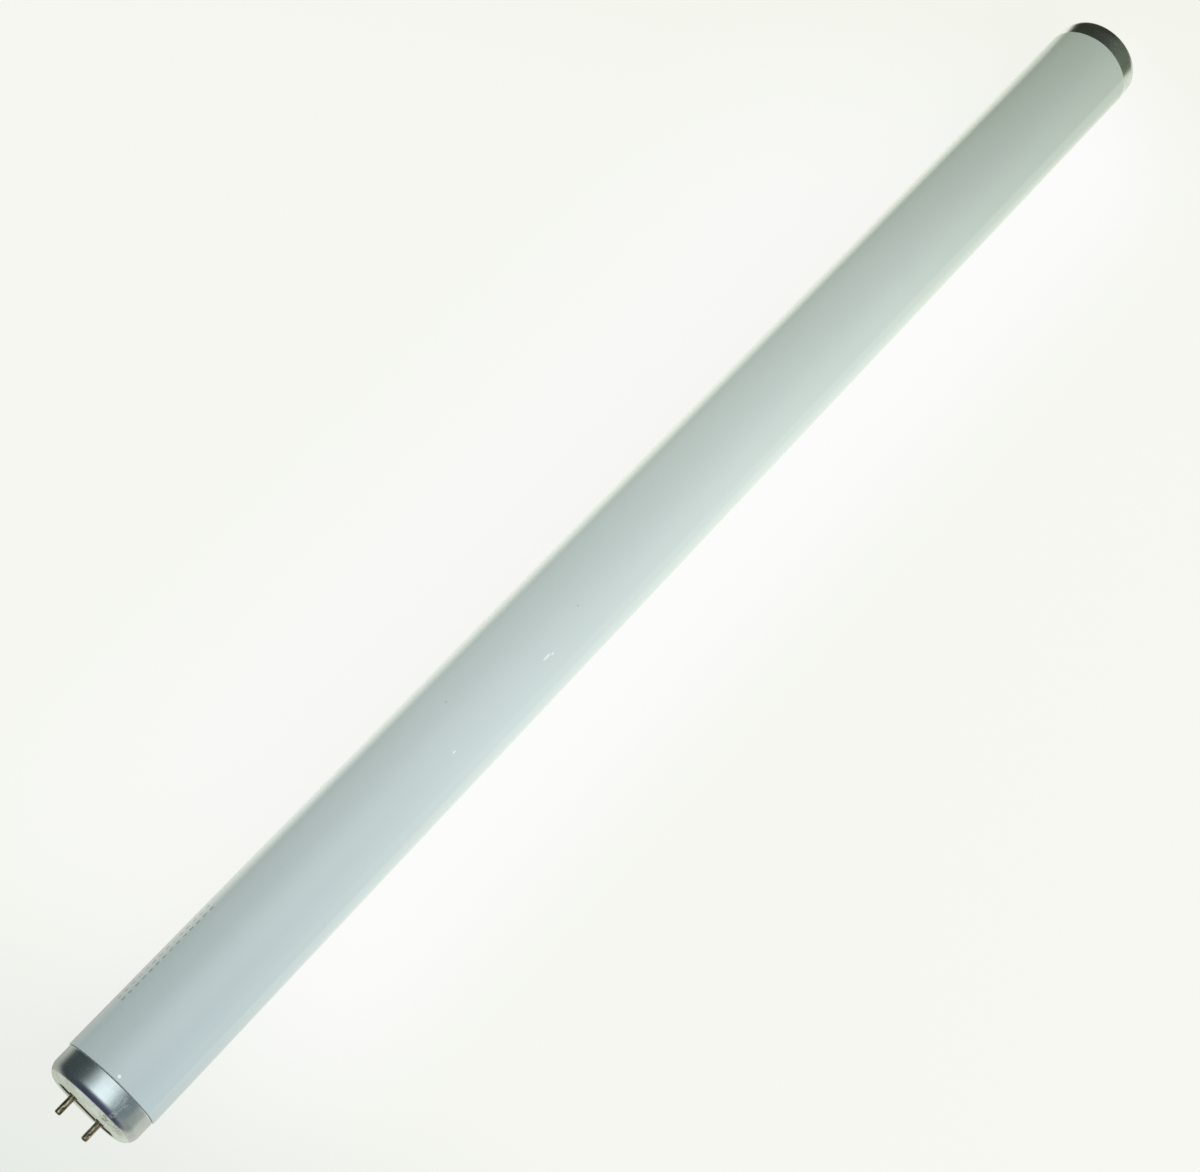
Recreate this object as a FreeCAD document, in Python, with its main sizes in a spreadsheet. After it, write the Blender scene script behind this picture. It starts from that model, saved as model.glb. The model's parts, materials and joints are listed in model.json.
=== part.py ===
import FreeCAD, Part
import math
import os
import Sketcher

# Linear fluorescent lamp with two-pin caps, lying along X with its axis on the origin.
# Each end is drawn in an end frame: x = 0 on the cap's face, +x pointing out along the pins.
# Sizes in millimetres.
SIZES = {
    # whole lamp, from cap face to cap face
    "lamp_length": 589.8,
    # drawn glass tube, turned in to a narrower neck under each cap
    "glass_diameter": 37.5,
    "glass_wall": 0.8,
    "turn_in_radius": 1.2,
    "neck_length": 6.0,
    "rim_thickness": 2.0,
    # glass stem fused into each end: a flare, a tube, a solid press and a tipped-off exhaust tube
    "flare_length": 7.0,
    "stem_bore": 9.0,
    "stem_wall": 1.0,
    "stem_length": 24.0,
    "press_length": 6.0,
    "exhaust_diameter": 4.4,
    "exhaust_wall": 0.8,
    "exhaust_setback": 2.0,
    "exhaust_tip_radius": 1.2,
    # drawn aluminium cap
    "cap_step": 0.5,
    "cap_length": 11.0,
    "cap_wall": 0.4,
    "cap_inner_shoulder": 4.6,
    "cap_gap": 0.3,
    # oblong window in the flat of the cap's face, with its edge turned in
    "window_setback": 1.25,
    "window_width": 11.0,
    "lip_depth": 0.6,
    "lip_edge": 0.3,
    # cement between cap and neck
    "cement_thickness": 1.1,
    "cement_setback": 0.7,
    "cement_length": 4.5,
    # insulating plate behind the window
    "plate_margin": 1.4,
    "plate_thickness": 1.6,
    # hollow brass pins, staked through the plate
    "pin_spacing": 12.7,
    "pin_diameter": 2.35,
    "pin_wall": 0.4,
    "pin_projection": 7.1,
    "pin_tip_radius": 0.6,
    "pin_tip_wall": 0.7,
    "collar_width": 0.5,
    "collar_height": 0.8,
    "staked_width": 0.6,
    "staked_height": 0.4,
    "crimp_setback": 2.0,
    "crimp_depth": 0.22,
    "crimp_width": 1.1,
    "crimp_punch_radius": 1.4,
    # lead wires from the press to the pin tips
    "lead_diameter": 0.6,
    "lead_straight": 1.2,
    # play between parts that slide together
    "fit_gap": 0.05,
}

ENDS = {"left": -1, "right": 1}
SIDES = {"front": -1, "back": 1}
X_AXIS = FreeCAD.Vector(1, 0, 0)
Y_AXIS = FreeCAD.Vector(0, 1, 0)
Z_AXIS = FreeCAD.Vector(0, 0, 1)
# Half turns that point +x out of the lamp's end and -y towards its axis.
HALF_TURNS = {
    ("right", "front"): X_AXIS,
    ("left", "back"): Y_AXIS,
    ("left", "front"): Z_AXIS,
}
HALF_TURN = 180
FULL_TURN = 360
# A quarter round is drawn with this many straight sides, from one angle to another in degrees.
ROUND_SIDES = 4
ALONG_X, ALONG_Y = 0, 90
NEARLY_ZERO = 1e-6

# Places worked out from the sizes, in the end frame. The glass starts behind the cap's rim.
GLASS_RADIUS = "(Lamp.glass_diameter / 2)"
CAP_RADIUS = f"({GLASS_RADIUS} - Lamp.cap_step)"
CAP_BORE = f"({CAP_RADIUS} - Lamp.cap_wall)"
CAP_RIM = "(-Lamp.cap_length)"
CAP_SHOULDER = "(Lamp.cap_inner_shoulder + Lamp.cap_wall)"
WINDOW_LENGTH = f"(2 * ({CAP_RADIUS} - {CAP_SHOULDER} - Lamp.window_setback))"
NECK_RADIUS = f"({CAP_BORE} - Lamp.cement_thickness)"
TURN_IN = f"({CAP_RIM} - Lamp.cap_gap)"
GLASS_END = f"({CAP_RIM} + Lamp.neck_length)"
MOUTH_RADIUS = f"({NECK_RADIUS} - Lamp.rim_thickness)"
PRESS_FACE = f"({GLASS_END} - Lamp.stem_length)"
EXHAUST_TIP = f"({GLASS_END} - Lamp.exhaust_setback)"
EXHAUST_RADIUS = "(Lamp.exhaust_diameter / 2)"
STEM_BORE_RADIUS = "(Lamp.stem_bore / 2)"
STEM_RADIUS = f"({STEM_BORE_RADIUS} + Lamp.stem_wall)"
PLATE_FRONT = "(-Lamp.lip_depth)"
PLATE_BACK = f"({PLATE_FRONT} - Lamp.plate_thickness)"
PIN_RADIUS = "(Lamp.pin_diameter / 2)"
PIN_OFFSET = "(Lamp.pin_spacing / 2)"
PIN_BACK = f"({PLATE_BACK} - Lamp.staked_height)"
LEAD_RADIUS = "(Lamp.lead_diameter / 2)"
LEAD_HOLE = f"({LEAD_RADIUS} + Lamp.fit_gap)"
# The leads enter the press midway between the exhaust tube and the stem's bore.
LEAD_OFFSET = f"(({EXHAUST_RADIUS} + {STEM_BORE_RADIUS}) / 2)"

doc = FreeCAD.newDocument("fluorescent_tube")
sheet = doc.addObject("Spreadsheet::Sheet", "Lamp")
for row, (name, size) in enumerate(SIZES.items(), start=1):
    sheet.set(f"A{row}", name)
    sheet.set(f"B{row}", str(size))
    sheet.setAlias(f"B{row}", name)
doc.recompute()


def new_body(node):
    body = doc.addObject("PartDesign::Body", node)
    body.Label = node
    return body


def place_at_end(body, end, side="back", across="0"):
    """Carries a body from the end frame to its own end and side of the lamp."""
    turn = HALF_TURNS.get((end, side))
    if turn is not None:
        body.Placement = FreeCAD.Placement(FreeCAD.Vector(), FreeCAD.Rotation(turn, HALF_TURN))
    body.setExpression("Placement.Base.x", f"{ENDS[end]} * Lamp.lamp_length / 2")
    body.setExpression("Placement.Base.y", f"{SIDES[side]} * {across}")


def new_sketch(body, name, plane, forward="0"):
    """Sketch on one of the body's own origin planes, moved forward along its normal."""
    sketch = body.newObject("Sketcher::SketchObject", f"{body.Name}_{name}")
    planes = {feature.Role: feature for feature in body.Origin.OriginFeatures}
    sketch.AttachmentSupport = (planes[plane], [""])
    sketch.MapMode = "FlatFace"
    sketch.setExpression("AttachmentOffset.Base.z", forward)
    return sketch


def bind(sketch, kind, *references, to):
    """Constraint whose value follows an expression of the lamp's sizes."""
    value = sketch.evalExpression(to)
    index = sketch.addConstraint(Sketcher.Constraint(kind, *references, value))
    sketch.setExpression(f"Constraints[{index}]", to)


def pin_down(sketch, geometry, point, x, y):
    bind(sketch, "DistanceX", -1, 1, geometry, point, to=x)
    bind(sketch, "DistanceY", -1, 1, geometry, point, to=y)


def quarter_round(x, y, radius, start, stop):
    """Corners of a quarter round about a centre, between two angles."""
    step = (stop - start) / ROUND_SIDES
    angles = [start + i * step for i in range(ROUND_SIDES + 1)]
    return [(f"{x} + {radius} * cos({angle})", f"{y} + {radius} * sin({angle})") for angle in angles]


def draw_path(sketch, corners, closed):
    """Straight sides through the corners, each given as x and y."""
    spots = [FreeCAD.Vector(sketch.evalExpression(x), sketch.evalExpression(y)) for x, y in corners]
    if closed:
        spots.append(spots[0])
    sides = []
    for first, last in zip(spots, spots[1:]):
        sides.append(sketch.addGeometry(Part.LineSegment(first, last)))
    for side, (x, y) in zip(sides, corners):
        pin_down(sketch, side, 1, x, y)
    for side, following in zip(sides, sides[1:]):
        sketch.addConstraint(Sketcher.Constraint("Coincident", side, 2, following, 1))
    if closed:
        sketch.addConstraint(Sketcher.Constraint("Coincident", sides[-1], 2, sides[0], 1))
    else:
        pin_down(sketch, sides[-1], 2, *corners[-1])


def draw_oblong(sketch, length, width):
    """Straight-sided slot with round ends, centred on the sketch's origin."""
    radius = f"({width} / 2)"
    reach = f"({length} / 2 - {radius})"
    r = sketch.evalExpression(radius)
    x = sketch.evalExpression(reach)
    quarter = math.pi / 2
    right_end = Part.Circle(FreeCAD.Vector(x, 0), Z_AXIS, r)
    left_end = Part.Circle(FreeCAD.Vector(-x, 0), Z_AXIS, r)
    right = sketch.addGeometry(Part.ArcOfCircle(right_end, -quarter, quarter))
    top = sketch.addGeometry(Part.LineSegment(FreeCAD.Vector(x, r), FreeCAD.Vector(-x, r)))
    left = sketch.addGeometry(Part.ArcOfCircle(left_end, quarter, 3 * quarter))
    bottom = sketch.addGeometry(Part.LineSegment(FreeCAD.Vector(-x, -r), FreeCAD.Vector(x, -r)))
    ring = [right, top, left, bottom]
    for i, edge in enumerate(ring):
        sketch.addConstraint(Sketcher.Constraint("Tangent", edge, 2, ring[(i + 1) % len(ring)], 1))
    for arc, side in ((right, ""), (left, "-")):
        bind(sketch, "Radius", arc, to=radius)
        pin_down(sketch, arc, 3, f"{side}{reach}", "0")


def draw_circle(sketch, x, y, radius):
    centre = FreeCAD.Vector(sketch.evalExpression(x), sketch.evalExpression(y))
    circle = sketch.addGeometry(Part.Circle(centre, Z_AXIS, sketch.evalExpression(radius)))
    bind(sketch, "Radius", circle, to=radius)
    pin_down(sketch, circle, 3, x, y)


def turn(body, name, kind, corners):
    """Revolves a closed half section about the x axis, adding or cutting a turned form."""
    sketch = new_sketch(body, f"{name}_section", "XY_Plane")
    draw_path(sketch, corners, closed=True)
    feature = body.newObject(kind, f"{body.Name}_{name}")
    feature.Profile = sketch
    feature.ReferenceAxis = (sketch, ["H_Axis"])
    feature.Angle = FULL_TURN
    doc.recompute()
    return feature


def push(body, name, kind, sketch, length, side_type="One side", backwards=False):
    feature = body.newObject(kind, f"{body.Name}_{name}")
    feature.Profile = sketch
    feature.SideType = side_type
    feature.Reversed = backwards
    feature.setExpression("Length", length)
    doc.recompute()
    return feature


def both_ends(half_section):
    """Half section of the right end, followed by the same corners of the left end in reverse."""
    middle = "Lamp.lamp_length / 2"
    right = [(f"{middle} + {x}", y) for x, y in half_section]
    left = [(f"-({middle} + {x})", y) for x, y in reversed(half_section)]
    return right + left


def make_glass_tube():
    """Tube, necks and stems are one piece of fused glass round a sealed, empty space."""
    body = new_body("glass_tube")
    tip_radius = "Lamp.exhaust_tip_radius"
    turn_radius = "Lamp.turn_in_radius"
    tip_centre = (f"{EXHAUST_TIP} - {tip_radius}", f"{EXHAUST_RADIUS} - {tip_radius}")
    turn_centre = (f"{TURN_IN} - {turn_radius}", f"{GLASS_RADIUS} - {turn_radius}")
    outside = [
        (EXHAUST_TIP, "0"),
        *quarter_round(*tip_centre, tip_radius, ALONG_X, ALONG_Y),
        (PRESS_FACE, EXHAUST_RADIUS),
        (PRESS_FACE, STEM_BORE_RADIUS),
        (f"{GLASS_END} - Lamp.flare_length", STEM_BORE_RADIUS),
        (GLASS_END, MOUTH_RADIUS),
        (GLASS_END, NECK_RADIUS),
        (TURN_IN, NECK_RADIUS),
        *quarter_round(*turn_centre, turn_radius, ALONG_X, ALONG_Y),
    ]
    neck_bore = f"{NECK_RADIUS} - Lamp.glass_wall"
    inner_turn = f"{TURN_IN} - Lamp.glass_wall"
    press_back = f"{PRESS_FACE} - Lamp.press_length"
    exhaust_bore = f"{EXHAUST_RADIUS} - Lamp.exhaust_wall"
    exhaust_end = f"{EXHAUST_TIP} - Lamp.exhaust_wall"
    inside = [
        (exhaust_end, "0"),
        (exhaust_end, exhaust_bore),
        (press_back, exhaust_bore),
        (press_back, STEM_RADIUS),
        (f"{GLASS_END} - Lamp.flare_length - Lamp.stem_wall", STEM_RADIUS),
        (f"{GLASS_END} - Lamp.rim_thickness", neck_bore),
        (inner_turn, neck_bore),
        (inner_turn, f"{GLASS_RADIUS} - Lamp.glass_wall"),
    ]
    blown = turn(body, "outside", "PartDesign::Revolution", both_ends(outside))
    hollow = turn(body, "inside", "PartDesign::Groove", both_ends(inside))
    if hollow.Shape.Volume >= blown.Shape.Volume:
        raise RuntimeError("the glass tube is not hollow")
    return body


def make_end_cap(end):
    """Drawn cup with a rounded shoulder; the window's edge is turned in towards the plate."""
    body = new_body(f"{end}_end_cap")
    shoulder_centre = (f"-{CAP_SHOULDER}", f"{CAP_RADIUS} - {CAP_SHOULDER}")
    cup = turn(body, "cup", "PartDesign::Revolution", [
        (CAP_RIM, CAP_BORE),
        (CAP_RIM, CAP_RADIUS),
        *quarter_round(*shoulder_centre, CAP_SHOULDER, ALONG_Y, ALONG_X),
        ("0", "0"),
        ("-Lamp.cap_wall", "0"),
        *quarter_round(*shoulder_centre, "Lamp.cap_inner_shoulder", ALONG_X, ALONG_Y),
    ])
    lip_sketch = new_sketch(body, "lip_outline", "YZ_Plane")
    lip_walls = "2 * Lamp.cap_wall"
    draw_oblong(lip_sketch, f"({WINDOW_LENGTH} + {lip_walls})", f"(Lamp.window_width + {lip_walls})")
    lip = push(body, "lip", "PartDesign::Pad", lip_sketch, "Lamp.lip_depth", backwards=True)
    window_sketch = new_sketch(body, "window_outline", "YZ_Plane")
    draw_oblong(window_sketch, WINDOW_LENGTH, "Lamp.window_width")
    window = push(body, "window", "PartDesign::Pocket", window_sketch, "Lamp.lip_depth")
    if not cup.Shape.Volume < lip.Shape.Volume or not window.Shape.Volume < lip.Shape.Volume:
        raise RuntimeError("the cap's window is not open")
    edge = body.newObject("PartDesign::Chamfer", f"{body.Name}_lip_edge")
    edge.Base = (window, window_edges(window))
    edge.setExpression("Size", "Lamp.lip_edge")
    body.Tip = edge
    place_at_end(body, end)
    return body


def window_edges(feature):
    """Names of the edges round the window on the cap's face."""
    half_length = feature.evalExpression(f"{WINDOW_LENGTH} / 2")
    names = []
    for i, edge in enumerate(feature.Shape.Edges, start=1):
        box = edge.BoundBox
        on_face = abs(box.XMin) < NEARLY_ZERO and abs(box.XMax) < NEARLY_ZERO
        if on_face and max(abs(box.YMin), abs(box.YMax)) < half_length + NEARLY_ZERO:
            names.append(f"Edge{i}")
    return names


def make_cement_ring(end):
    """Cement fills the gap between the cap's wall and the glass neck."""
    body = new_body(f"{end}_cement_ring")
    inner_end = f"{CAP_RIM} + Lamp.cement_setback"
    outer_end = f"{inner_end} + Lamp.cement_length"
    turn(body, "ring", "PartDesign::Revolution", [
        (inner_end, NECK_RADIUS),
        (outer_end, NECK_RADIUS),
        (outer_end, CAP_BORE),
        (inner_end, CAP_BORE),
    ])
    place_at_end(body, end)
    return body


def make_pin_plate(end):
    """Insulating plate that lies against the turned-in lip and carries the two pins."""
    body = new_body(f"{end}_pin_plate")
    sketch = new_sketch(body, "outline", "YZ_Plane", forward=PLATE_FRONT)
    margins = "2 * Lamp.plate_margin"
    draw_oblong(sketch, f"({WINDOW_LENGTH} + {margins})", f"(Lamp.window_width + {margins})")
    for side in SIDES.values():
        draw_circle(sketch, f"{side} * {PIN_OFFSET}", "0", f"{PIN_RADIUS} + Lamp.fit_gap")
    push(body, "plate", "PartDesign::Pad", sketch, "Lamp.plate_thickness", backwards=True)
    place_at_end(body, end)
    return body


def make_pin(end, side):
    """Hollow pin with a collar in front of the plate, a staked end behind it and a crimped tip."""
    body = new_body(f"{end}_{side}_pin")
    tip = "Lamp.pin_projection"
    tip_inside = f"{tip} - Lamp.pin_tip_wall"
    bore = f"{PIN_RADIUS} - Lamp.pin_wall"
    collar = f"{PIN_RADIUS} + Lamp.collar_width"
    collar_front = f"{PLATE_FRONT} + Lamp.collar_height"
    staked = f"{PIN_RADIUS} + Lamp.staked_width"
    tip_radius = "Lamp.pin_tip_radius"
    tip_centre = (f"{tip} - {tip_radius}", f"{PIN_RADIUS} - {tip_radius}")
    shank = turn(body, "shank", "PartDesign::Revolution", [
        (tip, LEAD_HOLE),
        *quarter_round(*tip_centre, tip_radius, ALONG_X, ALONG_Y),
        (collar_front, PIN_RADIUS),
        (collar_front, collar),
        (PLATE_FRONT, collar),
        (PLATE_FRONT, PIN_RADIUS),
        (PLATE_BACK, PIN_RADIUS),
        (PLATE_BACK, staked),
        (PIN_BACK, bore),
        (tip_inside, bore),
        (tip_inside, LEAD_HOLE),
    ])
    punch = new_sketch(body, "punch_outline", "XZ_Plane")
    height = f"({PIN_RADIUS} + Lamp.crimp_punch_radius - Lamp.crimp_depth)"
    for sign in ("", "-"):
        draw_circle(punch, f"{tip} - Lamp.crimp_setback", f"{sign}{height}", "Lamp.crimp_punch_radius")
    crimp = push(body, "crimp", "PartDesign::Pocket", punch, "Lamp.crimp_width", side_type="Symmetric")
    if not crimp.Shape.Volume < shank.Shape.Volume:
        raise RuntimeError("the pin is not crimped")
    place_at_end(body, end, side, PIN_OFFSET)
    return body


def make_lead(end, side):
    """Wire from the pin's tip, through the pin and in to the stem's press."""
    body = new_body(f"{end}_{side}_lead")
    tip = "Lamp.pin_projection"
    inwards = f"({LEAD_OFFSET} - {PIN_OFFSET})"
    first_bend = f"{PIN_BACK} - Lamp.lead_straight"
    second_bend = f"{GLASS_END} - Lamp.flare_length / 2"
    route = new_sketch(body, "route", "XY_Plane")
    draw_path(route, [
        (tip, "0"),
        (first_bend, "0"),
        (second_bend, inwards),
        (PRESS_FACE, inwards),
    ], closed=False)
    section = new_sketch(body, "wire_section", "YZ_Plane", forward=tip)
    draw_circle(section, "0", "0", LEAD_RADIUS)
    wire = body.newObject("PartDesign::AdditivePipe", f"{body.Name}_wire")
    wire.Profile = section
    wire.Spine = route
    wire.Transition = "Right corner"
    place_at_end(body, end, side, PIN_OFFSET)
    return body


nodes = [make_glass_tube()]
for end in ENDS:
    nodes.append(make_end_cap(end))
    nodes.append(make_cement_ring(end))
    nodes.append(make_pin_plate(end))
    for side in SIDES:
        nodes.append(make_pin(end, side))
        nodes.append(make_lead(end, side))
doc.recompute()

for item in doc.Objects:
    if {"Invalid", "Error"} & set(item.State):
        raise RuntimeError(f"{item.Label} failed: {item.State}")
for node in nodes:
    if node.Shape.isNull() or not node.Shape.isValid() or len(node.Shape.Solids) != 1:
        raise RuntimeError(f"{node.Label} is not one sound solid")

os.makedirs("parts", exist_ok=True)
for node in nodes:
    node.Shape.exportStep(f"parts/{node.Label}.step")
    print(node.Label, round(node.Shape.Volume, 2))
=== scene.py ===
import json
import math
import bmesh
import bpy
from mathutils import Matrix, Vector


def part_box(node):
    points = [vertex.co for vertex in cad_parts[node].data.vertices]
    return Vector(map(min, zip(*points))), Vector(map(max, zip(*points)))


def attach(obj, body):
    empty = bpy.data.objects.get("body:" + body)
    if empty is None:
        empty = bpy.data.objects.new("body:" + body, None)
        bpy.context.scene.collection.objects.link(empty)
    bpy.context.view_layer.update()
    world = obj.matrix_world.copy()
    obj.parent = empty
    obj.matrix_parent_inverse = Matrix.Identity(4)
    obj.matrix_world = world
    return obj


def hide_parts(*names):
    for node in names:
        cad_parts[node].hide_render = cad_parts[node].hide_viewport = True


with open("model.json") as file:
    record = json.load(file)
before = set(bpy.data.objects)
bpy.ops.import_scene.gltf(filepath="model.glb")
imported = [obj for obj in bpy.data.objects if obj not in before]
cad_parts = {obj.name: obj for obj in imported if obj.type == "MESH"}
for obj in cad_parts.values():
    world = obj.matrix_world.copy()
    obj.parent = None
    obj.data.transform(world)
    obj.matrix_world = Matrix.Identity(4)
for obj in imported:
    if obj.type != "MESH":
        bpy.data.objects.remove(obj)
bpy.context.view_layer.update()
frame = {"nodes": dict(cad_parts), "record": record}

# Sizes in metres. What the frame gives is read from it; the rest repeats the lamp's own drawing.
MM = 0.001
CAP_LOW, CAP_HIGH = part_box("right_end_cap")
PIN_LOW, PIN_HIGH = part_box("right_back_pin")
PLATE_LOW, PLATE_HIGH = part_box("right_pin_plate")
CONTACT = frame["record"]["mounts"][0]
TUBE_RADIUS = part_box("glass_tube")[1].y
TUBE_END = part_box("glass_tube")[1].x
CAP_RIM, CAP_FACE, CAP_RADIUS = CAP_LOW.x, CAP_HIGH.x, CAP_HIGH.y
CAP_WALL = 0.4 * MM
CAP_SHOULDER = 5.0 * MM
CAP_RIM_ROUNDING = 0.18 * MM
TURN_GAP = 0.12 * MM
TURN_IN = CAP_RIM - TURN_GAP
TURN_ROUNDING = 0.4 * MM
NECK_RADIUS = 16.75 * MM
NECK_ROUNDING = 0.8 * MM
WINDOW_SETBACK = 1.25 * MM
WINDOW_LENGTH = 2 * (CAP_RADIUS - CAP_SHOULDER - WINDOW_SETBACK)
WINDOW_WIDTH = 11.0 * MM
WINDOW_REACH = (WINDOW_LENGTH - WINDOW_WIDTH) / 2
WINDOW_ROUNDING = 0.45 * MM
WINDOW_MARGIN = 0.8 * MM
FACE_RING = WINDOW_LENGTH / 2 + WINDOW_MARGIN
LIP_GAP = 0.08 * MM
LIP_DEPTH = CAP_FACE - PLATE_HIGH.x - LIP_GAP
PIN_OFFSET = abs(CONTACT["pos_m"][1])
PIN_RADIUS = CONTACT["dims"]["r_mm"] * MM
PIN_TIP, PIN_BACK = PIN_HIGH.x, PIN_LOW.x
PIN_TIP_ROUNDING = 0.6 * MM
PIN_TIP_WALL = 0.7 * MM
PIN_WALL = 0.4 * MM
PIN_BORE = PIN_RADIUS - PIN_WALL
LEAD_HOLE = 0.35 * MM
COLLAR_WIDTH = 0.5 * MM
COLLAR_RADIUS = PIN_RADIUS + COLLAR_WIDTH
COLLAR_HEIGHT = 0.8 * MM
COLLAR_ROUNDING = 0.22 * MM
STAKED_RADIUS = (PIN_HIGH.y - PIN_LOW.y) / 2
CRIMP_SETBACK = 2.0 * MM
CRIMP_LENGTH = 1.5 * MM
CRIMP_WIDTH = 1.1 * MM
CRIMP_DEPTH = 0.24 * MM

# How far beside a rounding the next ring of points lies, so that the shading there stays even.
RIM_SUPPORT = 3 * CAP_RIM_ROUNDING
TURN_SUPPORT = 4 * TURN_ROUNDING

TUBE_SIDES = 192
CAP_SIDES = 192
WINDOW_SIDES = 128
PIN_SIDES = 64
ROUND_STEPS = 6
RIM_STEPS = 3
SHOULDER_STEPS = 14
SHANK_CUTS = 60
SHARP_ANGLE = math.radians(32)
TOUCHING = 1e-6

ENDS = {"left": -1, "right": 1}
SIDES = {"front": -1, "back": 1}
AXIS_X = Vector((1, 0, 0))
NOISE_ROUGHNESS = 0.55


class Value:
    """A shader socket that can stand in a Python expression."""

    def __init__(self, finish, socket):
        self.finish = finish
        self.socket = socket

    def math(self, operation, first, second=0.0):
        return self.finish.add("ShaderNodeMath", {"operation": operation}, {0: first, 1: second})

    def __add__(self, other):
        return self.math("ADD", self, other)

    def __sub__(self, other):
        return self.math("SUBTRACT", self, other)

    def __rsub__(self, other):
        return self.math("SUBTRACT", other, self)

    def __mul__(self, other):
        return self.math("MULTIPLY", self, other)

    def __truediv__(self, other):
        return self.math("DIVIDE", self, other)

    def __pow__(self, other):
        return self.math("POWER", self, other)

    def absolute(self):
        return self.math("ABSOLUTE", self)

    def fraction(self):
        return self.math("FRACT", self)

    def highest(self, other):
        return self.math("MAXIMUM", self, other)

    __radd__ = __add__
    __rmul__ = __mul__


class Finish:
    """The node tree of one material or of the world, with its nodes added as they are needed."""

    def __init__(self, owner):
        owner.use_nodes = True
        self.tree = owner.node_tree
        self.tree.nodes.clear()

    def add(self, kind, settings=None, sockets=None, output=0):
        node = self.tree.nodes.new(kind)
        for name, setting in (settings or {}).items():
            if name == "stops":
                set_stops(node.color_ramp, setting)
            else:
                setattr(node, name, setting)
        for name, value in (sockets or {}).items():
            socket = node.inputs[name]
            if isinstance(value, Value):
                self.tree.links.new(value.socket, socket)
            elif socket.type == "VECTOR":
                socket.default_value = value[:3]
            else:
                socket.default_value = value
        return Value(self, node.outputs[output]) if node.outputs else node

    def spot(self):
        """Object coordinates."""
        return self.add("ShaderNodeTexCoord", output="Object")

    def split(self, vector):
        """The x, y and z of a vector."""
        return [self.add("ShaderNodeSeparateXYZ", sockets={0: vector}, output=axis) for axis in range(3)]

    def lean(self, y, z):
        """Angle about the lamp's axis, from straight up towards +y."""
        return self.add("ShaderNodeMath", {"operation": "ARCTAN2"}, {0: y, 1: z})

    def ray(self, kind):
        """1 for rays of this kind, 0 for all others."""
        return self.add("ShaderNodeLightPath", output=kind)

    def scaled(self, colour, level):
        """Colour made brighter or darker by a number."""
        return self.add("ShaderNodeVectorMath", {"operation": "SCALE"}, {0: colour, "Scale": level})

    def noise(self, spot, scale, detail=4.0):
        """Noise with this many cells to the metre, the same every way or given for x, y and z."""
        if isinstance(scale, tuple):
            spot = self.add("ShaderNodeVectorMath", {"operation": "MULTIPLY"}, {0: spot, 1: scale})
            scale = 1.0
        sockets = {"Vector": spot, "Scale": scale, "Detail": detail, "Roughness": NOISE_ROUGHNESS}
        return self.add("ShaderNodeTexNoise", sockets=sockets)

    def fade(self, value, low, high):
        """0 below low, 1 above high, smooth between. Low may be the larger number."""
        settings = {"interpolation_type": "SMOOTHSTEP"}
        if low > high:
            return 1 - self.fade(value, high, low)
        return self.add("ShaderNodeMapRange", settings, {0: value, 1: low, 2: high})

    def patches(self, x, around, places, core=0.2):
        """Ovals on the lamp's surface: their strength well inside each one and 0 outside."""
        cover = 0.0
        for patch_x, patch_around, length, width, strength in places:
            reach = ((x - patch_x) / length) ** 2 + ((around - patch_around) / width) ** 2
            cover = (self.fade(reach, 1.0, core) * strength).highest(cover)
        return cover

    def blend(self, share, first, second):
        """Colour mixed from the first to the second."""
        return self.add("ShaderNodeMix", {"data_type": "RGBA"}, {0: share, 6: first, 7: second}, output=2)

    def bump(self, height, distance, strength=1.0):
        sockets = {"Height": height, "Distance": distance, "Strength": strength}
        return self.add("ShaderNodeBump", sockets=sockets)

    def surface(self, **sockets):
        named = {name.replace("_", " "): value for name, value in sockets.items()}
        shader = self.add("ShaderNodeBsdfPrincipled", sockets=named)
        self.show(shader)

    def show(self, shader, kind="ShaderNodeOutputMaterial"):
        self.add(kind, sockets={"Surface": shader})


def set_stops(ramp, stops):
    while len(ramp.elements) < len(stops):
        ramp.elements.new(1.0)
    for element, (position, colour) in zip(ramp.elements, stops):
        element.position = position
        element.color = colour


def grey(level):
    return (level, level, level, 1.0)


def between(share, first, second):
    """Number that goes from the first to the second as the share goes from 0 to 1."""
    return first + (second - first) * share


def new_material(name):
    material = bpy.data.materials.new(name)
    return material, Finish(material)


# Colour of the powder from the left end of the glass at 0 to the right end at 1, with painted shade
# darker towards both ends and a painted tint of light, bluish at the left and greener at the right.
POWDER_TINTS_AND_END_SHADE = [
    (0.0, (0.54, 0.645, 0.665, 1)),
    (0.30, (0.675, 0.78, 0.775, 1)),
    (0.55, (0.69, 0.79, 0.755, 1)),
    (0.72, (0.633, 0.73, 0.676, 1)),
    (1.0, (0.471, 0.551, 0.471, 1)),
]
POWDER_THIN, POWDER_THICK = grey(0.965), grey(1.03)
FLECK_WHITE = (0.96, 1.0, 1.0, 1)
MARK_GREY = (0.16, 0.19, 0.16, 1)
# Patches on the lamp's surface: place along it, place round it, half length, half width and strength.
# White flecks and dark specks are on the glass.
FLECKS = [
    (-80.7 * MM, 0.0 * MM, 2.4 * MM, 0.55 * MM, 1.0),
    (-78.2 * MM, -0.7 * MM, 0.9 * MM, 0.4 * MM, 1.0),
    (-129.2 * MM, 0.5 * MM, 1.0 * MM, 0.4 * MM, 1.0),
    (-282.2 * MM, 6.3 * MM, 0.75 * MM, 0.75 * MM, 1.0),
]
SPECKS = [
    (-59.0 * MM, 4.8 * MM, 0.5 * MM, 0.5 * MM, 0.25),
    (-117.9 * MM, 14.8 * MM, 0.5 * MM, 0.5 * MM, 0.25),
]
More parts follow.
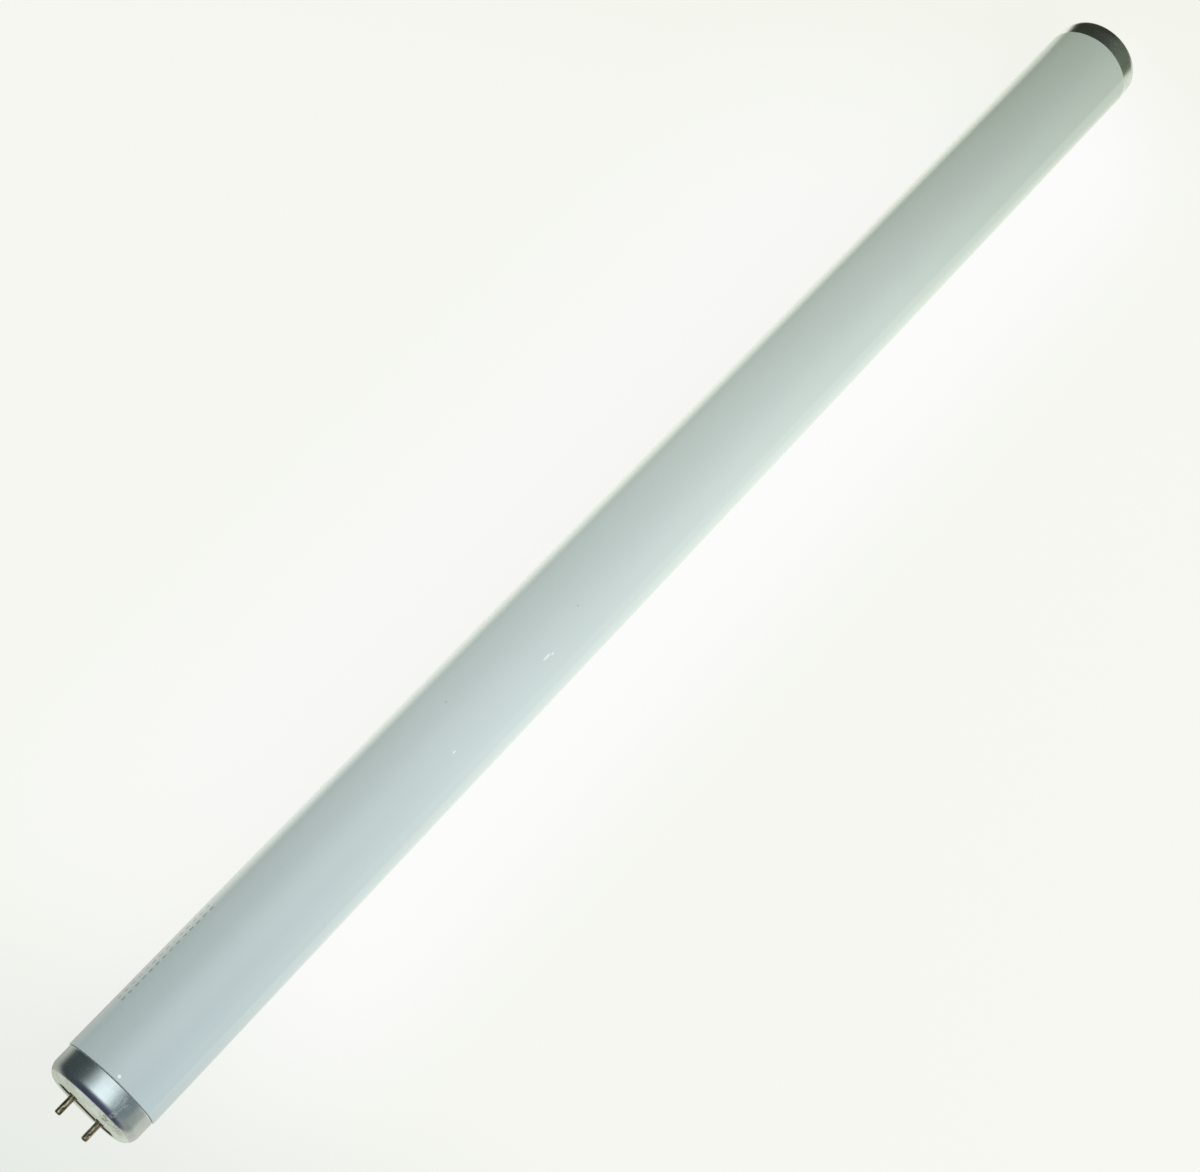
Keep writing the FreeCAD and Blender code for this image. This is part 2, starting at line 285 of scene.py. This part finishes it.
# Two rows of plain worn dashes on the glass: start, end and spacing along the lamp, places round it.
DASH_START, DASH_END, DASH_PITCH = -264.0 * MM, -221.0 * MM, 3.1 * MM
DASH_ROWS = (26.3 * MM, 29.3 * MM)
DASH_HALF_WIDTH = 0.45 * MM
DASH_BLUR = 0.2 * MM
DASH_CUT = 0.1 * MM
# Length of a dash and of its soft ends as shares of the spacing, and how dark it is.
DASH_SHARE, DASH_SOFT, DASH_DENSITY = 0.66, 0.12, 0.6


def phosphor_glass():
    """White powder inside clear glass, darker towards both ends as painted shade, with a painted tint of
    light that is bluish near the left cap and greener near the right one.
    """
    material, finish = new_material("phosphor_glass")
    spot = finish.spot()
    x, y, z = finish.split(spot)
    around = finish.lean(y, z) * TUBE_RADIUS
    along = (x + TUBE_END) / (2 * TUBE_END)
    # The change of colour along the tube is painted shade and a painted tint of light.
    tint_and_end_shade = finish.add("ShaderNodeValToRGB", {"stops": POWDER_TINTS_AND_END_SHADE}, {0: along})
    streaks = finish.noise(spot, (6, 60, 60))
    clouds = finish.noise(spot, 28.0)
    powder = finish.blend((streaks + clouds) * 0.5, POWDER_THIN, POWDER_THICK)
    coat = finish.add("ShaderNodeMix", {"data_type": "RGBA", "blend_type": "MULTIPLY"},
                      {0: 1.0, 6: tint_and_end_shade, 7: powder}, output=2)
    step = ((x - DASH_START) / DASH_PITCH).fraction()
    dash = finish.fade(step, 0.0, DASH_SOFT) * finish.fade(step, DASH_SHARE, DASH_SHARE - DASH_SOFT)
    span = (finish.fade(x, DASH_START, DASH_START + DASH_CUT)
            * finish.fade(x, DASH_END, DASH_END - DASH_CUT))
    row = 0.0
    for row_around in DASH_ROWS:
        off_row = (around - row_around).absolute()
        row = finish.fade(off_row, DASH_HALF_WIDTH + DASH_BLUR, DASH_HALF_WIDTH).highest(row)
    worn = finish.fade(finish.noise(spot, 700.0), 0.30, 0.55)
    marks = (dash * span * row * worn * DASH_DENSITY).highest(finish.patches(x, around, SPECKS))
    marked = finish.blend(marks, coat, MARK_GREY)
    colour = finish.blend(finish.patches(x, around, FLECKS), marked, FLECK_WHITE)
    finish.surface(Base_Color=colour, Roughness=0.5, Specular_IOR_Level=0.0, Coat_Weight=1.0,
                   Coat_Roughness=0.08, Coat_IOR=1.5)
    return material


ALUMINIUM, ALUMINIUM_DULL = (0.72, 0.77, 0.79, 1), (0.64, 0.68, 0.69, 1)
# The rubbed bright colour also lightens each cap's rim as a painted highlight.
PIT_GREY, RUBBED_AND_RIM_HIGHLIGHT = (0.30, 0.32, 0.34, 1), (0.92, 0.94, 0.95, 1)
# The stained face colour also darkens the face towards the window as painted shade.
FACE_PALE, FACE_STAINED_AND_SHADED = (0.80, 0.875, 0.785, 1), (0.47, 0.51, 0.40, 1)
# The green is dirt; the black is painted shade in the window's recess.
DIRT_GREEN, RECESS_SHADE_BLACK = (0.30, 0.35, 0.23, 1), (0.06, 0.058, 0.045, 1)
# Rubbed patches on the left cap and dirt on its shoulder, given as the patches on the glass are.
SCUFFS = [
    (-291.5 * MM, -1.2 * MM, 1.7 * MM, 1.1 * MM, 1.0),
    (-287.3 * MM, -0.3 * MM, 3.2 * MM, 3.6 * MM, 0.55),
]
DIRT = [
    (-294.05 * MM, -0.8 * MM, 1.1 * MM, 2.8 * MM, 1.0),
    (-293.8 * MM, -4.5 * MM, 1.2 * MM, 9.5 * MM, 0.6),
]
# Each pair here says where a change begins and where it is full.
# Along the lamp, each cap's rim is made lighter as a painted highlight, and its face and the end of its
# shoulder are dulled.
RIM_PAINTED_HIGHLIGHT = (CAP_RIM + 0.55 * MM, CAP_RIM + 0.3 * MM)
DULLED = (CAP_FACE - 2.0 * MM, CAP_FACE - 1.6 * MM)
# Outwards from the lamp's axis, dirt stays on the rounded shoulder.
DIRT_RADIUS = (CAP_RADIUS - 4.3 * MM, CAP_RADIUS - 3.1 * MM)
# Towards the window, the face darkens as painted shade, and its last edge is black as painted shade in the
# recess.
LIP_SHADE_REACH = (1.5 * MM, 0.4 * MM)
RECESS_SHADE_REACH = (0.40 * MM, 0.15 * MM)


def drawn_aluminium():
    """Satin aluminium with drawing lines, pits and scuffs and a lighter rim as a painted highlight; its
    dulled face has painted shade round the window.
    """
    material, finish = new_material("drawn_aluminium")
    spot = finish.spot()
    x, y, z = finish.split(spot)
    around = finish.lean(y, z) * CAP_RADIUS
    outwards = x.absolute()
    lines = finish.noise(spot, (120, 2600, 2600), detail=3.0)
    pits = finish.fade(finish.noise(spot, 1700.0, detail=2.0), 0.62, 0.72)
    specks = finish.fade(finish.noise(spot, (700, 1500, 1500), detail=5.0), 0.62, 0.72)
    rubbed = finish.fade(finish.noise(spot, (700, 2400, 2400), detail=5.0), 0.44, 0.54)
    scuffs = (finish.patches(x, around, SCUFFS, core=0.3) * rubbed).highest(specks * 0.65)
    metal = finish.blend(finish.fade(finish.noise(spot, 160.0), 0.4, 0.65), ALUMINIUM, ALUMINIUM_DULL)
    pitted = finish.blend(pits * 0.2, metal, PIT_GREY)
    # The rim is lightened here as a painted highlight, beside the real wear of the scuffs.
    scuffs_and_rim_highlight = scuffs.highest(finish.fade(outwards, *RIM_PAINTED_HIGHLIGHT) * 0.8)
    polished = finish.blend(scuffs_and_rim_highlight, pitted, RUBBED_AND_RIM_HIGHLIGHT)
    beside = (y.absolute() - WINDOW_REACH).highest(0.0)
    from_window = (beside ** 2 + z ** 2) ** 0.5 - WINDOW_WIDTH / 2
    stain = finish.fade(finish.noise(spot, 260.0), 0.42, 0.74) * 0.45
    # The face is darkened towards the window as painted shade; the noise above gives its stains.
    lip_shade = finish.fade(from_window, *LIP_SHADE_REACH) * 0.7
    stained_and_lip_shaded = finish.blend(stain.highest(lip_shade), FACE_PALE, FACE_STAINED_AND_SHADED)
    patchy = finish.fade(finish.noise(spot, 1100.0), 0.36, 0.6)
    on_shoulder = finish.fade((y ** 2 + z ** 2) ** 0.5, *DIRT_RADIUS)
    dirt = finish.patches(x, around, DIRT) * patchy * on_shoulder
    face = finish.fade(outwards, *DULLED)
    before_recess_shade = finish.blend(face, polished, finish.blend(dirt, stained_and_lip_shaded, DIRT_GREEN))
    # The window's last edge is made black, dull and not metal as painted shade in the recess.
    recess_shade = finish.fade(from_window, *RECESS_SHADE_REACH)
    rough = (0.22 + lines * 0.08 + scuffs * 0.30).highest(face * 0.6).highest(recess_shade * 0.8)
    relief = lines * 0.4 + scuffs * 0.6 - pits * 0.4
    finish.surface(Base_Color=finish.blend(recess_shade, before_recess_shade, RECESS_SHADE_BLACK),
                   Metallic=(1 - face * 0.9) * (1 - recess_shade), Roughness=rough,
                   Normal=finish.bump(relief, 0.03 * MM, 0.3))
    return material


BRASS, BRASS_TARNISHED = (0.63, 0.53, 0.39, 1), (0.15, 0.13, 0.09, 1)
# Towards the cap's face each pin is tarnished at its root: where that begins and where it is full.
PIN_ROOT = (CAP_FACE + 1.2 * MM, CAP_FACE + 0.2 * MM)
BOARD_DARK, BOARD_PALE = (0.74, 0.73, 0.66, 1), (0.88, 0.87, 0.80, 1)
CEMENT_DARK, CEMENT_PALE = (0.36, 0.31, 0.25, 1), (0.56, 0.49, 0.40, 1)
WIRE_DARK, WIRE_PALE = (0.36, 0.34, 0.31, 1), (0.60, 0.58, 0.54, 1)


def tarnished_brass():
    """Brass with brown tarnish in streaks along the pin."""
    material, finish = new_material("tarnished_brass")
    spot = finish.spot()
    x = finish.split(spot)[0]
    stain = finish.fade(finish.noise(spot, (330, 1100, 1100)), 0.32, 0.62)
    marks = finish.noise(spot, (500, 3000, 3000))
    tarnish = stain.highest(finish.fade(x.absolute(), *PIN_ROOT) * 0.7)
    colour = finish.blend(tarnish, BRASS, BRASS_TARNISHED)
    finish.surface(Base_Color=colour, Metallic=1.0, Roughness=0.12 + tarnish * 0.14,
                   Normal=finish.bump(marks, 0.02 * MM, 0.3))
    return material


def pressed_board():
    """Pale insulating board with a fine grain."""
    material, finish = new_material("pressed_board")
    grain = finish.noise(finish.spot(), 900.0)
    colour = finish.blend(grain, BOARD_DARK, BOARD_PALE)
    finish.surface(Base_Color=colour, Roughness=0.62, Normal=finish.bump(grain, 0.04 * MM, 0.5))
    return material


def basing_cement():
    """Brown gritty cement."""
    material, finish = new_material("basing_cement")
    grit = finish.noise(finish.spot(), 1500.0)
    colour = finish.blend(grit, CEMENT_DARK, CEMENT_PALE)
    finish.surface(Base_Color=colour, Roughness=0.9, Normal=finish.bump(grit, 0.1 * MM))
    return material


def lead_wire():
    """Grey drawn wire."""
    material, finish = new_material("lead_wire")
    drawn = finish.noise(finish.spot(), (400, 5000, 5000))
    colour = finish.blend(drawn, WIRE_DARK, WIRE_PALE)
    finish.surface(Base_Color=colour, Metallic=1.0, Roughness=0.3 + drawn * 0.15)
    return material


def profile_edges(bm, corners, closed):
    """Wire through the corners: x, radius and, where it is rounded, the rounding and its steps."""
    points = [bm.verts.new((corner[0], 0, corner[1])) for corner in corners]
    ring = points + points[:1] if closed else points
    for first, last in zip(ring, ring[1:]):
        bm.edges.new((first, last))
    for point, corner in zip(points, corners):
        if len(corner) > 2:
            bmesh.ops.bevel(bm, geom=[point], offset=corner[2], segments=corner[3], profile=0.5,
                            affect="VERTICES", material=-1)


def turn(bm, sides):
    """Spins the wire in a bmesh once about the lamp's axis."""
    bmesh.ops.spin(bm, geom=bm.verts[:] + bm.edges[:], cent=(0, 0, 0), axis=AXIS_X, angle=2 * math.pi,
                   steps=sides, use_merge=True)
    bmesh.ops.remove_doubles(bm, verts=bm.verts, dist=TOUCHING)
    bmesh.ops.recalc_face_normals(bm, faces=bm.faces)


def new_piece(bm, name, material, slot, *nodes):
    """Finished mesh as a piece of the lamp that stands for its CAD nodes."""
    mesh = bpy.data.meshes.new(name)
    bm.to_mesh(mesh)
    bm.free()
    mesh.materials.append(material)
    mesh.shade_smooth()
    mesh.set_sharp_from_angle(angle=SHARP_ANGLE)
    piece = bpy.data.objects.new(name, mesh)
    bpy.context.scene.collection.objects.link(piece)
    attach(piece, "root")
    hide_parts(*nodes)


def to_end(bm, end):
    """Turns what was made at the right end round to the left one."""
    if end == "left":
        bmesh.ops.rotate(bm, verts=bm.verts, cent=(0, 0, 0), matrix=Matrix.Rotation(math.pi, 3, "Z"))


def make_tube(material):
    """Glass from end to end, turned in to a narrower neck under each cap."""
    bm = bmesh.new()
    right = [
        (TUBE_END, 0.0),
        (TUBE_END, NECK_RADIUS, NECK_ROUNDING, ROUND_STEPS),
        (TURN_IN, NECK_RADIUS),
        (TURN_IN, TUBE_RADIUS, TURN_ROUNDING, ROUND_STEPS),
        (TURN_IN - TURN_SUPPORT, TUBE_RADIUS),
    ]
    left = [(-corner[0], *corner[1:]) for corner in reversed(right)]
    profile_edges(bm, right + left, closed=False)
    turn(bm, TUBE_SIDES)
    new_piece(bm, "coated_tube", material, "coated_glass", "glass_tube")


def edges_at(bm, test):
    return [edge for edge in bm.edges if all(test(vert.co) for vert in edge.verts)]


def off_axis(point):
    return math.hypot(point.y, point.z)


def make_cap(end, material):
    """Drawn cup; its face is bridged to the oblong window, whose edge is turned in."""
    bm = bmesh.new()
    profile_edges(bm, [
        (CAP_RIM, CAP_RADIUS),
        (CAP_RIM + RIM_SUPPORT, CAP_RADIUS),
        (CAP_FACE - CAP_SHOULDER - RIM_SUPPORT, CAP_RADIUS),
        (CAP_FACE, CAP_RADIUS, CAP_SHOULDER, SHOULDER_STEPS),
        (CAP_FACE, FACE_RING),
    ], closed=False)
    turn(bm, CAP_SIDES)
    face_ring = edges_at(bm, lambda p: p.x > CAP_FACE - TOUCHING and off_axis(p) < FACE_RING + TOUCHING)
    stand_up = Matrix.Translation((CAP_FACE, 0, 0)) @ Matrix.Rotation(math.pi / 2, 4, "Y")
    skew = Matrix.Rotation(math.pi / WINDOW_SIDES, 4, "Z")
    window = bmesh.ops.create_circle(bm, cap_ends=False, segments=WINDOW_SIDES, radius=WINDOW_WIDTH / 2,
                                     matrix=stand_up @ skew)["verts"]
    for side in SIDES.values():
        half = [vert for vert in window if vert.co.y * side > 0]
        bmesh.ops.translate(bm, verts=half, vec=(0, side * WINDOW_REACH, 0))
    window_edge = list({edge for vert in window for edge in vert.link_edges})
    lip = bmesh.ops.extrude_edge_only(bm, edges=window_edge)["geom"]
    lip_verts = [item for item in lip if isinstance(item, bmesh.types.BMVert)]
    bmesh.ops.translate(bm, verts=lip_verts, vec=(-LIP_DEPTH, 0, 0))
    bmesh.ops.bridge_loops(bm, edges=face_ring + window_edge)
    bmesh.ops.recalc_face_normals(bm, faces=bm.faces)
    bmesh.ops.bevel(bm, geom=window_edge, offset=WINDOW_ROUNDING, segments=ROUND_STEPS, profile=0.5,
                    affect="EDGES", material=-1)
    bmesh.ops.solidify(bm, geom=bm.faces[:], thickness=CAP_WALL)
    rim = edges_at(bm, lambda p: p.x < CAP_RIM + TOUCHING and off_axis(p) > CAP_RADIUS - CAP_WALL / 2)
    bmesh.ops.bevel(bm, geom=rim, offset=CAP_RIM_ROUNDING, segments=RIM_STEPS, profile=0.5,
                    affect="EDGES", material=-1)
    to_end(bm, end)
    new_piece(bm, f"{end}_cap_shell", material, "cap_metal", f"{end}_end_cap")


def make_pin(end, side, material):
    """Hollow pin with a collar, a staked end behind the plate and two dents that grip the lead."""
    bm = bmesh.new()
    collar_front = PLATE_HIGH.x + COLLAR_HEIGHT
    profile_edges(bm, [
        (PIN_TIP, LEAD_HOLE),
        (PIN_TIP, PIN_RADIUS, PIN_TIP_ROUNDING, ROUND_STEPS),
        (collar_front, PIN_RADIUS),
        (collar_front, COLLAR_RADIUS, COLLAR_ROUNDING, ROUND_STEPS),
        (PLATE_HIGH.x, COLLAR_RADIUS),
        (PLATE_HIGH.x, PIN_RADIUS),
        (PLATE_LOW.x, PIN_RADIUS),
        (PLATE_LOW.x, STAKED_RADIUS),
        (PIN_BACK, PIN_BORE),
        (PIN_TIP - PIN_TIP_WALL, PIN_BORE),
        (PIN_TIP - PIN_TIP_WALL, LEAD_HOLE),
    ], closed=True)
    shank = max((edge for edge in bm.edges if edge.verts[0].co.z > PIN_BORE + TOUCHING),
                key=lambda edge: edge.calc_length())
    bmesh.ops.subdivide_edges(bm, edges=[shank], cuts=SHANK_CUTS)
    turn(bm, PIN_SIDES)
    crimp = PIN_TIP - CRIMP_SETBACK
    for vert in bm.verts:
        x, y, z = vert.co
        share = 1 - ((x - crimp) / (CRIMP_LENGTH / 2)) ** 2 - (y / (CRIMP_WIDTH / 2)) ** 4
        if share > 0 and off_axis(vert.co) > PIN_BORE + TOUCHING:
            vert.co.z -= math.copysign(CRIMP_DEPTH * share, z)
    bmesh.ops.translate(bm, verts=bm.verts, vec=(0, SIDES[side] * ENDS[end] * PIN_OFFSET, 0))
    to_end(bm, end)
    new_piece(bm, f"{end}_{side}_contact", material, "pin_brass", f"{end}_{side}_pin")


def finish_node(name, material):
    """A CAD node that keeps its own mesh and gets a finish."""
    mesh = frame["nodes"][name].data
    mesh.materials.clear()
    mesh.materials.append(material)


# The floor is a plain pale sheet: whiter in front of the lamp and behind it as a painted pool of light,
# a little darker past its left end as painted shade, and on the far side. Each pair of numbers says where a
# change begins and where it is full.
FLOOR_SIZE = 12.0
FLOOR_TINT = (0.935, 0.947, 0.895, 1)
FLOOR_BACK = (0.90, 0.915, 0.84, 1)
FLOOR_GLOW = (1.0, 1.0, 1.0, 1)
FLOOR_SHADE = (0.77, 0.82, 0.775, 1)
FLOOR_LIT = (0.80, 0.81, 0.72, 1)
FLOOR_SHADOW_SHARE = 0.08
GLOW_FRONT, GLOW_FRONT_START = (-0.11, -0.03), (0.0, -0.015)
GLOW_BEHIND, GLOW_BEHIND_START, GLOW_BEHIND_END = (0.13, 0.05), (0.0, 0.015), (0.32, 0.18)
GLOW_BEHIND_SHARE = 0.5
GLOW_LEFT, GLOW_RIGHT = (-0.32, -0.17), (0.35, 0.27)
SHADE_CENTRE, SHADE_SLANT = -0.36, 0.3
SHADE_START, SHADE_REACH = (-0.21, -0.38), (0.55, 0.02)
BACK_START, BACK_REACH = (0.15, 0.5), (2.5, 0.7)

# What polished metal and glass mirror of the sheet ends close behind the lamp and past the right end.
# It is dim beside the left end, brightest behind the lamp and shaded close under it.
SHEET_TINT = (0.985, 1.0, 0.88, 1)
SHEET_TURN = math.radians(47.4)
SHEET_TOP_SLOPE, SHEET_TOP_EDGE = 0.148, (0.212, 0.190)
SHEET_BACK_SLOPE, SHEET_BACK_EDGE = 0.005, (0.046, 0.027)
SHEET_PAST_LAMP = (-0.005, 0.015)
SHEET_DIM_FRONT, SHEET_DIM_BACK, SHEET_DIM_END = 0.66, 0.49, (-0.30, -0.16)
SHEET_FRONT, SHEET_FRONT_FAR, SHEET_FRONT_END = 1.15, 0.92, (0.28, 0.35)
SHEET_BACK, SHEET_BACK_FAR, SHEET_BACK_END = 1.75, 1.25, (0.24, 0.31)
SHEET_UNDER, SHEET_UNDER_END = 0.9, (0.013, 0.024)
OFF_SHEET_NEAR, OFF_SHEET_END = (0.052, 0.067, 0.069, 1), (0.1, 0.3)

# Polished metal and glass mirror a dim room with a pale ceiling over the lamp and a pale wall in front.
# Pairs are along x of the mirrored direction, or its lean about the lamp's axis in radians.
ROOM_NEAR, SIDE_NEAR = (0.066, 0.084, 0.086, 1), (0.17, 0.22, 0.24, 1)
ROOM_FAR, SIDE_FAR = (0.033, 0.037, 0.022, 1), (0.13, 0.15, 0.10, 1)
ROOM_END = (0.045, 0.05, 0.095, 1)
ROOM_FAR_START, ROOM_END_START, SIDE_START = (0.1, 0.6), (-0.4, -0.65), (0.8, -0.6)
WALL_NEAR, WALL_FAR = (0.93, 1.0, 0.93, 1), (0.95, 0.98, 0.77, 1)
WALL_SLANT, WALL_EDGE = 0.634, (-0.846, -1.0)
WALL_LEVEL, WALL_RISE = 0.34, 0.95
CEILING_TINT = (1.18, 1.31, 1.31, 1)
CEILING_BACK, CEILING_FRONT = (1.3, 0.45), (-0.45, 0.2)
CEILING_LEFT, CEILING_RIGHT = (-0.5, -0.2), (0.45, 0.12)

# Soft fill: its level, how much stronger it is from above and how much weaker from behind.
FILL_LEVEL, FILL_ABOVE, FILL_BEHIND = 0.655, 0.30, 0.19
SOFTBOX_PLACE, SOFTBOX_AIM = Vector((0.2, -0.5, 0.22)), Vector((0.1, 0.0, 0.0))
SOFTBOX_SIZE = (0.5, 0.3)
SOFTBOX_WATTS = 0.4
SOFTBOX_TINT = (1.0, 0.99, 0.96)


def plain_floor(finish, x, y):
    """Colour of the floor as the camera sees it."""
    # A painted pool of light in front of the lamp and behind it, and painted shade past its left end.
    front = finish.fade(y, *GLOW_FRONT) * finish.fade(y, *GLOW_FRONT_START)
    behind = (finish.fade(y, *GLOW_BEHIND) * finish.fade(y, *GLOW_BEHIND_START)
              * finish.fade(x + y, *GLOW_BEHIND_END))
    glow = (front + behind * GLOW_BEHIND_SHARE) * finish.fade(x, *GLOW_LEFT) * finish.fade(x, *GLOW_RIGHT)
    from_end = ((x - SHADE_CENTRE) ** 2 + y ** 2) ** 0.5
    shade = finish.fade(x + y * SHADE_SLANT, *SHADE_START) * finish.fade(from_end, *SHADE_REACH)
    back = finish.fade(x + y, *BACK_START) * finish.fade((x ** 2 + y ** 2) ** 0.5, *BACK_REACH)
    plain = finish.blend(back, FLOOR_TINT, FLOOR_BACK)
    return finish.blend(shade, finish.blend(glow, plain, FLOOR_GLOW), FLOOR_SHADE)


def mirrored_sheet(finish, x, y):
    """Colour of the floor as glass and polished metal mirror it."""
    up = x * math.cos(SHEET_TURN) + y * math.sin(SHEET_TURN)
    across = x * math.sin(SHEET_TURN) - y * math.cos(SHEET_TURN)
    inside = (finish.fade(y - x * SHEET_BACK_SLOPE, *SHEET_BACK_EDGE)
              * finish.fade(up - across * SHEET_TOP_SLOPE, *SHEET_TOP_EDGE))
    past_lamp = finish.fade(y, *SHEET_PAST_LAMP)
    front = between(finish.fade(x, *SHEET_FRONT_END), SHEET_FRONT, SHEET_FRONT_FAR)
    behind = between(finish.fade(x, *SHEET_BACK_END), SHEET_BACK, SHEET_BACK_FAR)
    back = between(finish.fade(y, *SHEET_UNDER_END), SHEET_UNDER, behind)
    dim = between(past_lamp, SHEET_DIM_FRONT, SHEET_DIM_BACK)
    level = between(finish.fade(x, *SHEET_DIM_END), dim, between(past_lamp, front, back))
    outside = finish.blend(finish.fade(x, *OFF_SHEET_END), OFF_SHEET_NEAR, ROOM_FAR)
    return finish.blend(inside, outside, finish.scaled(SHEET_TINT, level))


def make_floor():
    """Pale sheet that the lamp lies on, with a faint shadow."""
    material, finish = new_material("pale_sheet")
    x, y = finish.split(finish.spot())[:2]
    mirrored = finish.ray("Is Glossy Ray").highest(finish.ray("Is Transmission Ray"))
    seen = finish.blend(mirrored, plain_floor(finish, x, y), mirrored_sheet(finish, x, y))
    lit = finish.add("ShaderNodeBsdfDiffuse", sockets={"Color": FLOOR_LIT})
    plain = finish.add("ShaderNodeEmission", sockets={"Color": seen})
    share = (finish.ray("Is Camera Ray") * (1 - FLOOR_SHADOW_SHARE)).highest(mirrored)
    finish.show(finish.add("ShaderNodeMixShader", sockets={0: share, 1: lit, 2: plain}))
    bm = bmesh.new()
    bmesh.ops.create_grid(bm, x_segments=1, y_segments=1, size=FLOOR_SIZE / 2,
                          matrix=Matrix.Translation((0, 0, -TUBE_RADIUS)))
    mesh = bpy.data.meshes.new("floor")
    bm.to_mesh(mesh)
    bm.free()
    mesh.materials.append(material)
    floor = bpy.data.objects.new("floor", mesh)
    bpy.context.scene.collection.objects.link(floor)


def mirrored_room(finish, x, lean):
    """Colour of the room as glass and polished metal mirror it."""
    far = finish.fade(x, *ROOM_FAR_START)
    side = finish.fade(lean, *SIDE_START)
    dim = finish.blend(far, finish.blend(side, ROOM_NEAR, SIDE_NEAR), finish.blend(side, ROOM_FAR, SIDE_FAR))
    wall = finish.fade(lean + x * WALL_SLANT, *WALL_EDGE)
    wall_tint = finish.scaled(finish.blend(far, WALL_NEAR, WALL_FAR), WALL_LEVEL + x.highest(0.0) * WALL_RISE)
    ceiling = (finish.fade(lean, *CEILING_BACK) * finish.fade(lean, *CEILING_FRONT)
               * finish.fade(x, *CEILING_LEFT) * finish.fade(x, *CEILING_RIGHT))
    room = finish.blend(ceiling, finish.blend(wall, dim, wall_tint), CEILING_TINT)
    return finish.blend(finish.fade(x, *ROOM_END_START), room, ROOM_END)


def make_room():
    """Soft fill, stronger from above; the camera sees a plain backdrop, and mirrors show the room."""
    world = bpy.data.worlds.new("room")
    bpy.context.scene.world = world
    finish = Finish(world)
    x, y, z = finish.split(finish.add("ShaderNodeTexCoord", output="Generated"))
    fill = finish.scaled(grey(1.0), FILL_LEVEL + z * FILL_ABOVE - y * FILL_BEHIND)
    room = mirrored_room(finish, x, finish.lean(y, z))
    around_lamp = finish.blend(finish.ray("Is Glossy Ray"), fill, room)
    colour = finish.blend(finish.ray("Is Camera Ray"), around_lamp, FLOOR_TINT)
    finish.show(finish.add("ShaderNodeBackground", sockets={"Color": colour}), "ShaderNodeOutputWorld")


def add_softbox():
    """Broad lamp for the soft light and the shadow; mirrors show the room's ceiling and wall instead."""
    lamp = bpy.data.lights.new("side_softbox", "AREA")
    lamp.shape = "RECTANGLE"
    lamp.size, lamp.size_y = SOFTBOX_SIZE
    lamp.energy = SOFTBOX_WATTS
    lamp.color = SOFTBOX_TINT
    holder = bpy.data.objects.new("side_softbox", lamp)
    holder.location = SOFTBOX_PLACE
    holder.rotation_euler = (SOFTBOX_AIM - SOFTBOX_PLACE).to_track_quat("-Z", "Y").to_euler()
    holder.visible_glossy = False
    bpy.context.scene.collection.objects.link(holder)


# Camera that sees the lamp as in the photograph, turned so that the lamp runs corner to corner.
CAMERA_PLACE = Vector((-0.3539, 0.2557, 0.7025))
CAMERA_AIM = Vector((-0.03106, -0.00978, -0.01875))
CAMERA_ROLL = math.radians(87.319)
CAMERA_LENS = 66.70
SENSOR_WIDTH = 36.0
NEAREST_SEEN = 0.01


def make_camera():
    camera = bpy.data.cameras.new("camera")
    camera.lens = CAMERA_LENS
    camera.sensor_width = SENSOR_WIDTH
    camera.clip_start = NEAREST_SEEN
    stand = bpy.data.objects.new("camera", camera)
    look = (CAMERA_AIM - CAMERA_PLACE).to_track_quat("-Z", "Y").to_matrix().to_4x4()
    stand.matrix_world = Matrix.Translation(CAMERA_PLACE) @ look @ Matrix.Rotation(CAMERA_ROLL, 4, "Z")
    bpy.context.scene.collection.objects.link(stand)
    bpy.context.scene.camera = stand


glass, aluminium, brass = phosphor_glass(), drawn_aluminium(), tarnished_brass()
board, cement, wire = pressed_board(), basing_cement(), lead_wire()
make_tube(glass)
for end in ENDS:
    make_cap(end, aluminium)
    finish_node(f"{end}_pin_plate", board)
    finish_node(f"{end}_cement_ring", cement)
    for side in SIDES:
        make_pin(end, side, brass)
        finish_node(f"{end}_{side}_lead", wire)
make_floor()
make_room()
add_softbox()
make_camera()
bpy.context.scene.view_settings.view_transform = "Standard"
